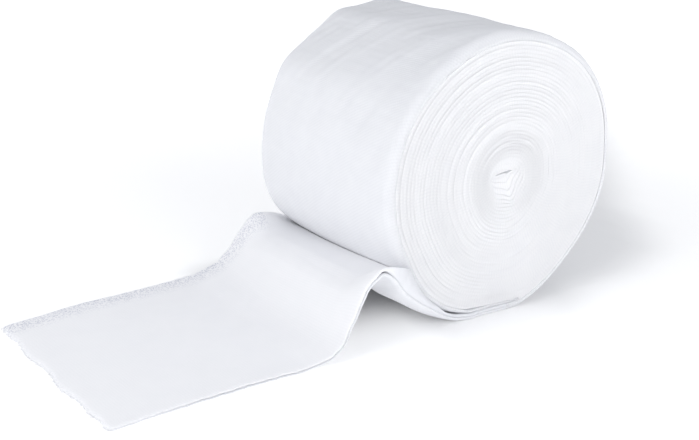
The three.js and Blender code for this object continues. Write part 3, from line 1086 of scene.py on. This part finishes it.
    def plies(self) -> tuple[Sheet, Sheet]:
        """Returns the upper and the lower ply."""
        along = np.linspace(0.0, 1.0, self.steps_along)
        front, front_way, front_rest = self.selvedge(self.front, along)
        back, back_way, back_rest = self.selvedge(self.back, along)
        edge = np.array(self.edge_steps)
        t = np.concatenate([edge, np.linspace(edge[-1], 1 - edge[-1], self.steps_across)[1:-1], 1 - edge[::-1]])
        width = np.linalg.norm(back - front, axis=1)[:, None]
        steps = np.linalg.norm(np.diff(mix(front, back, 0.5), axis=0), axis=1)
        length = np.concatenate([[0.0], np.cumsum(steps)])
        u = np.broadcast_to(length[:, None], (len(length), len(t)))
        v, from_back, from_cut = width * t, width * (1 - t), length[-1] - u
        row = along[:, None] * (len(self.front) - 1)
        middle = mix(front[:, None], back[:, None], t[None, :, None])
        sunk = ease(0.0, self.sag_sides[0], t) * ease(1.0, self.sag_sides[1], t)
        middle[..., 2] -= self.sag * sunk * bell(row - self.crest_row, self.crest_rows)
        way = mix(front_way[:, None], back_way[:, None], t[None, :, None])
        normal = np.cross((back - front)[:, None], way)
        normal /= np.linalg.norm(normal, axis=-1, keepdims=True)
        thick = mix(front_rest[:, :1], back_rest[:, :1], t)
        curl = front_rest[:, 1:] * np.maximum(0, 1 - t / self.curl_share) ** 2
        curl = curl + back_rest[:, 1:] * np.maximum(0, 1 - (1 - t) / self.curl_share) ** 2
        # The plies part at the front selvedge, near the crest.
        gap = self.between_plies + self.parted * bell(row - self.parted_row, 0.4) * np.exp(-t / 0.05)
        shrink = rounded(np.minimum(np.minimum(v, from_back), np.where(row > 1, from_cut, 99)), self.edge_radius)
        shrink = shrink * ((thick - gap) / 2) * 0.46
        outer, inner = thick / 2 - shrink, gap / 2 + 0.4 * shrink * ease(0.6, 2.5, row)
        # Each selvedge wavers, and the cut end bulges in scallops with small nicks.
        scallops = sum(s.out * bell(t - s.across, s.spread) for s in self.scallops)
        out = (scallops + crinkled(self.nicks, v[-1], 0 * t)) * ease(self.scallop_reach, 0.0, from_cut)
        near = ease(self.waver_reach, 0.0, v) - ease(self.waver_reach, 0.0, from_back)
        sideways = crinkled(self.wavers, u, v) * ease(0.3, 2.0, row) * near
        openness = ease(*self.open_mm, from_back) * ease(*self.open_rows, row)
        openness = openness * (0.75 + 0.25 * cloth_noise(u, v, (6.0, 3.0), 48))
        openness = np.maximum(openness, self.cut_openness * ease(2.5, 0.0, from_cut))
        lift, lying = crinkled(self.ripples, u, v), ease(*self.lying_rows, row)
        sheets = []
        for upper, sides in ((True, (outer, inner)), (False, (-inner, -outer))):
            grids = []
            for away in sides:
                points = middle + normal * (away + curl)[..., None]
                points[..., 0] -= out
                points[..., 1] += sideways
                # Cloth on the table rests on it, and ripples a little.
                rest = self.resting_height + thick / 2 + away + np.maximum(lift + 0.1, 0.0) * upper
                height = mix(points[..., 2], rest, lying) + lift * (1 - lying) * upper * ease(*self.ripple_rows, row)
                points[..., 2] = np.maximum(height, 0.0)
                grids.append(points)
            if upper:
                grids[0] = self.against_roll(grids[0], row, u)
            sheets.append(Sheet(*grids, u, v, openness))
        return sheets[0], sheets[1]

    def against_roll(self, points: Array, row: Array, u: Array) -> Array:
        """Lays the top of the rising cloth against the roll, up to the line where it turns out to the crest.

        Args:
            points: Points of the upper side.
            row: The row of the selvedge that each section belongs to.
            u: The way along the cloth.

        Returns:
            The points, moved where the cloth climbs beside the roll.
        """
        form = self.form
        first, leave, crest = (int(np.argmax(row[:, 0] > at)) for at in self.climb_rows)
        x, y, z = (points[..., k] for k in range(3))
        angle = np.degrees(np.arctan2(z - form.axis_height, x)) % 360.0
        below_axis = (form.axis_height - self.contact_height(y[leave])) / form.radius
        low, high = angle[leave], 180.0 + np.degrees(np.arcsin(below_axis))
        reach = np.radians(low - high) * form.radius
        meets = self.on_roll(high, y[leave])
        top = points[crest][:, [0, 2]]
        bend = np.stack([mix(meets[:, 0], top[:, 0], self.shelf_bend), top[:, 1]], -1)
        shelf = np.linalg.norm(top - meets, axis=1)
        moved = points.copy()
        for k in range(first, crest):
            if k < leave:
                share = ease(u[first, 0], u[leave, 0], u[k, 0])
                moved[k][:, [0, 2]] = mix(points[k][:, [0, 2]], self.on_roll(angle[k], y[k]), share)
                continue
            way = (u[k, 0] - u[leave, 0]) / (u[crest, 0] - u[leave, 0]) * (reach + shelf)
            on_arc = self.on_roll(low - (low - high) * np.minimum(way / reach, 1.0), y[leave])
            t = np.maximum(way - reach, 0.0) / shelf
            on_shelf = ((1 - t) ** 2)[:, None] * meets + (2 * t * (1 - t))[:, None] * bend + (t**2)[:, None] * top
            moved[k][:, [0, 2]] = np.where((way < reach)[:, None], on_arc, on_shelf)
        return moved

    def contact_height(self, y: Array) -> Array:
        """Returns how high the cloth lies against the roll.

        Args:
            y: Places along the axis.

        Returns:
            The heights above the table.
        """
        return self.contact[0] + self.contact[1] * y

    def on_roll(self, angle: Array, y: Array) -> Array:
        """Returns points just outside the roll.

        Args:
            angle: Degrees about the roll's axis.
            y: Places along the axis.

        Returns:
            The points' x and z.
        """
        form = self.form
        turn = (angle - form.take_off_angle) % 360.0 / 360.0
        side = form.surface(turn, y)
        radius = np.hypot(side[..., 0], side[..., 2] - form.axis_height) + self.barrel_clearance
        from_end = form.cloth_width / 2 - np.minimum(np.abs(y), form.cloth_width / 2)
        radius = radius - form.droop(from_end) * form.rim_bend(turn)
        way = np.radians(angle)
        return np.stack([radius * np.cos(way), form.axis_height + radius * np.sin(way)], -1)

    def fraying(self) -> Tree:
        """Builds the node tree that sets short bent threads along a line."""
        sockets = ("Cut", "Geometry"), ("Count", "Int"), ("Length", "Float"), ("Radius", "Float"), ("Seed", "Int")
        tree = started_group("Frayed threads", (*sockets, ("Gauze", "Material")))
        given = add_node(tree, "NodeGroupInput").outputs
        cut = add_node(tree, "GeometryNodeMeshToCurve", {"Mesh": given["Cut"]}).outputs["Curve"]
        links = {"Curve": cut, "Count": given["Count"]}
        spots = add_node(tree, "GeometryNodeCurveToPoints", links, mode="COUNT").outputs["Points"]
        bend, half, root = (calculated(tree, "MULTIPLY", given["Length"], share) for share in (0.35, 0.55, -0.35))
        start, middle, end = (
            add_node(tree, "ShaderNodeCombineXYZ", place).outputs[0]
            for place in ({"X": root}, {"X": half, "Y": bend}, {"X": given["Length"]})
        )
        links = {"Resolution": 5, "Start": start, "Middle": middle, "End": end}
        thread = add_node(tree, "GeometryNodeCurveQuadraticBezier", links).outputs["Curve"]
        links = {"Resolution": 4, "Radius": given["Radius"]}
        ring = add_node(tree, "GeometryNodeCurvePrimitiveCircle", links).outputs["Curve"]
        links = {"Curve": thread, "Profile Curve": ring, "Fill Caps": True}
        yarn = add_node(tree, "GeometryNodeCurveToMesh", links).outputs["Mesh"]

        def drawn(shift: int, low: Any, high: Any) -> Any:
            """Returns a random vector or number for each thread."""
            first, result, kind = (0, 0, "FLOAT_VECTOR") if isinstance(low, tuple) else (2, 1, "FLOAT")
            links = {first: low, first + 1: high, "Seed": calculated(tree, "ADD", given["Seed"], shift)}
            return add_node(tree, "FunctionNodeRandomValue", links, data_type=kind).outputs[result]

        out = add_node(tree, "GeometryNodeInputNamedAttribute", {"Name": "out"}, data_type="FLOAT_VECTOR").outputs[0]
        links = {0: out, 1: drawn(1, *self.thread_aims)}
        way = add_node(tree, "ShaderNodeVectorMath", links, operation="ADD").outputs[0]
        aimed = add_node(tree, "FunctionNodeAlignRotationToVector", {"Vector": way}, axis="X").outputs["Rotation"]
        links = {"Rotation": aimed, "Rotate By": drawn(2, *self.thread_rolls)}
        rolled = add_node(tree, "FunctionNodeRotateRotation", links, rotation_space="LOCAL").outputs["Rotation"]
        links = {"Points": spots, "Instance": yarn, "Rotation": rolled, "Scale": drawn(3, 0.35, 1.25)}
        placed = add_node(tree, "GeometryNodeInstanceOnPoints", links).outputs["Instances"]
        links = {"Instances": placed, "Translation": drawn(4, *self.thread_shifts), "Local Space": False}
        moved = add_node(tree, "GeometryNodeTranslateInstances", links).outputs["Instances"]
        end_group(tree, moved, given["Gauze"])
        return tree

    def build(self) -> list[bpy.types.Object]:
        """Builds the two plies and the frayed threads."""
        upper, lower = self.plies()
        pieces = []
        for name, sheet, finish, under in (
            ("lower_ply", lower, self.under_painted_shade_finish, []),
            ("upper_ply", upper, self.finish, ["lower_ply"]),
        ):
            piece = add_piece(name, sheet_mesh(name, sheet), finish.make(), "loose_end")
            pieces.append(piece)
        pieces.append(self.frayed(upper, lower))
        return pieces

    def frayed(self, upper: Sheet, lower: Sheet) -> bpy.types.Object:
        """Builds the threads along the cut end.

        Args:
            upper: The upper ply.
            lower: The lower ply.

        Returns:
            The piece.
        """
        cut = (upper.lower[-1] + lower.upper[-1]) / 2
        cut[:, 2] = np.maximum(cut[:, 2], 0.35)
        out = np.tile([-1.0, 0.0, 0.0], (len(cut), 1))
        line = line_object("cut_line", cut * MM, False, {"out": out})
        yarn = self.thread_finish.make()
        sizes = {"Length": self.thread_length * MM, "Radius": self.thread_radius * MM}
        mesh = grown(line, self.fraying(), {"Count": self.thread_count, **sizes, "Seed": 7, "Gauze": yarn})
        mesh.uv_layers.new(name=CLOTH_MAP)
        mesh.attributes.new(OPENNESS, "FLOAT", "POINT")
        return add_piece("frayed_threads", mesh, yarn, "loose_end")


@dataclass(frozen=True)
class Softbox:
    """A round soft lamp that looks at the bandage."""

    name: str
    place: Place
    size: float
    power: float
    aim: Place = (-40.0, 0.0, 40.0)

    def hang(self) -> None:
        """Adds the lamp to the scene."""
        lamp = bpy.data.lights.new(self.name, "AREA")
        lamp.shape = "DISK"
        lamp.size = self.size * MM
        lamp.energy = self.power
        softbox = bpy.data.objects.new(self.name, lamp)
        place = Vector(self.place) * MM
        way = Vector(self.aim) * MM - place
        softbox.matrix_world = Matrix.Translation(place) @ way.to_track_quat("-Z", "Y").to_matrix().to_4x4()
        bpy.context.scene.collection.objects.link(softbox)


@dataclass
class Studio:
    """A plain white table that glows, with the roll's shadow painted into its glow, under soft light from the front
    left, and the camera.
    """

    look_at: Place = (-52.3, -10.6, 39.0)
    distance: float = 394.9
    azimuth: float = -33.8
    elevation: float = 19.71
    roll: float = 2.27
    lens: float = 47.47
    sky: str = "#F3F5FA"
    zenith_strength: float = 0.91
    horizon_strength: float = 0.22
    softboxes: tuple[Softbox, ...] = (
        Softbox("left_softbox", (-520.0, -60.0, 260.0), 300.0, 0.74),
        Softbox("low_left_softbox", (-620.0, -60.0, 110.0), 300.0, 0.22),
        Softbox("front_softbox", (-30.0, -600.0, 190.0), 300.0, 0.62),
        Softbox("right_softbox", (300.0, -480.0, 200.0), 300.0, 0.5),
    )
    floor_colour: str = "#F8F8F8"
    # Painted light: near_glow and far_glow are the table's own emission, and the fields after them shape the roll's
    # shadow painted into it.
    near_glow: float = 0.25
    far_glow: float = 0.32
    shade_along: tuple[float, ...] = (0, 14, 46, 96, 150, 200)  # x + y of places along the painted shadow's edge
    shade_edge: tuple[float, ...] = (100, 109, 134, 156, 152, 138)  # and their x - y
    shade_blur: float = 28.0
    front_edge: Span = (-12.0, -40.0)  # from painted shadow to full glow, in y
    foot_glow: float = 0.3  # glow kept in the painted shadow before the roll's foot, which the next two lie round
    foot_front: Span = (-58.0, -80.0)  # in y
    foot_left: Span = (-28.0, -44.0)  # in x
    back_edge: float = 42.0
    back_blur: float = 26.0
    left_edge: Span = (-85.0, -110.0)
    floor_side: float = 24000.0

    def camera(self) -> None:
        """Sets up the camera at the photograph's viewing angle."""
        az, el, roll = (math.radians(a) for a in (self.azimuth, self.elevation, self.roll))
        back = Vector((math.sin(az) * math.cos(el), -math.cos(az) * math.cos(el), math.sin(el)))
        right = Vector((math.cos(az), math.sin(az), 0.0))
        up = back.cross(right)
        c, s = math.cos(roll), math.sin(roll)
        axes = Matrix((c * right + s * up, c * up - s * right, back)).transposed().to_4x4()
        place = (Vector(self.look_at) + back * self.distance) * MM
        data = bpy.data.cameras.new("photograph_view")
        data.lens = self.lens
        data.sensor_width = 36.0
        data.clip_start = 0.01
        camera = bpy.data.objects.new("photograph_view", data)
        camera.matrix_world = Matrix.Translation(place) @ axes
        bpy.context.scene.collection.objects.link(camera)
        bpy.context.scene.camera = camera

    def lights(self) -> None:
        """Adds the softboxes and the sky."""
        for softbox in self.softboxes:
            softbox.hang()
        world = bpy.data.worlds.new("soft_sky")
        world.use_nodes = True
        tree = world.node_tree
        way = add_node(tree, "ShaderNodeTexCoord").outputs["Generated"]
        height = add_node(tree, "ShaderNodeSeparateXYZ", {0: way}).outputs["Z"]
        strength = ranged(tree, height, 0.0, 1.0, self.horizon_strength, self.zenith_strength)
        sky = tree.nodes["Background"]
        sky.inputs["Color"].default_value = linear(self.sky)
        tree.links.new(strength, sky.inputs["Strength"])
        bpy.context.scene.world = world

    def floor(self) -> None:
        """Lays the white table, which glows, more away from the middle, with the roll's shadow painted into its glow.
        """
        steps = np.linspace(-1, 1, 241)
        spread = np.sign(steps) * np.abs(steps) ** 3 * self.floor_side / 2
        x, y = np.meshgrid(spread, spread, indexing="ij")
        # Painted light: the table glows, more away from the roll, and the roll's cast shadow is painted into the near
        # glow.
        glow = self.near_glow * self._glow_past_painted_shadow(x, y) + self.far_glow * ease(70.0, 600.0, np.hypot(x, y))
        count = len(steps)
        index = np.arange(count * count).reshape(count, count)
        quads = np.stack([index[:-1, :-1], index[1:, :-1], index[1:, 1:], index[:-1, 1:]], -1).reshape(-1, 4)
        mesh = bpy.data.meshes.new("table_top")
        points = np.stack([x, y, np.full_like(x, -0.05)], -1).reshape(-1, 3) * MM
        mesh.from_pydata(points.tolist(), [], quads.tolist())
        attribute = mesh.attributes.new("glow_with_painted_shadow", "FLOAT", "POINT")
        attribute.data.foreach_set("value", glow.astype(np.float32).ravel())
        material = bpy.data.materials.new("glowing_table_painted_shadow")
        material.use_nodes = True
        tree = material.node_tree
        tree.nodes.clear()
        strength = add_node(tree, "ShaderNodeAttribute", attribute_name="glow_with_painted_shadow").outputs["Fac"]
        shader = add_node(
            tree,
            "ShaderNodeBsdfPrincipled",
            {
                "Base Color": linear(self.floor_colour),
                "Roughness": 1.0,
                "Specular IOR Level": 0.0,
                "Emission Color": linear("#FFFFFF"),
                "Emission Strength": strength,
            },
        )
        add_node(tree, "ShaderNodeOutputMaterial", {"Surface": shader.outputs["BSDF"]})
        mesh.materials.append(material)
        table = bpy.data.objects.new("table_top", mesh)
        bpy.context.scene.collection.objects.link(table)

    def _glow_past_painted_shadow(self, x: Array, y: Array) -> Array:
        """Returns how much of the table's glow the roll's painted shadow leaves.

        Args:
            x: Places on the table, in millimetres.
            y: Their places along the roll's axis.

        Returns:
            0 in the painted shadow under and beside the roll, 1 well away from it.
        """
        along, across = x + y, x - y
        edge = np.interp(along, self.shade_along, self.shade_edge)
        right = ease(edge - self.shade_blur, edge + self.shade_blur, across)
        front = ease(*self.front_edge, y + 0.5 * np.maximum(x, 0.0))
        past_foot = np.maximum(ease(*self.foot_front, y), ease(*self.foot_left, x))
        front = front * mix(self.foot_glow, 1.0, past_foot)
        behind = self.back_edge + 0.4 * np.maximum(x, 0.0) + 8.0 * ease(-60.0, -20.0, x)
        back = ease(behind, behind + self.back_blur, y)
        left = ease(*self.left_edge, x)
        return np.maximum.reduce([right, front, back, left])

    def build(self) -> None:
        """Sets up everything round the object."""
        self.camera()
        self.lights()
        self.floor()
        bpy.context.scene.view_settings.view_transform = "Standard"


def main() -> None:
    """Builds the bandage and its studio."""
    logging.basicConfig(level=logging.INFO, format="%(name)s: %(message)s")
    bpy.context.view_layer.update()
    Studio().build()
    form = RollForm()
    soft = {"relief_mm": 0.04, "skew": 6.0, "subsurface": 0.1}
    wound = GauzeFinish("cotton_gauze_wound", relief_mm=0.03)
    drawn = GauzeFinish("cotton_gauze_drawn", thread="#E9EAED", gap="#DADBE0", relief_mm=0.07)
    lying = GauzeFinish("cotton_gauze_lying", Stretch.LYING, thread="#FAFAFC", gap="#F0F1F4", **soft)
    # The lower ply's gauze is a darker copy of the lying one: painted shade under the fold.
    under = GauzeFinish("cotton_gauze_under_painted_shade", thread="#F0F1F4", gap="#E6E7EC", **soft)
    yarn = GauzeFinish("cotton_yarn", Stretch.THREAD, thread="#FCFCFD", gap="#F1F2F5")
    pieces = [WoundTurns(form, wound).build(), OuterTurn(form, drawn).build()]
    pieces += LooseEnd(form, lying, under, yarn).build()
    for piece in pieces:
        LOG.info("%s: %d faces", piece.name, len(piece.data.polygons))


if __name__ == "__main__":
    main()
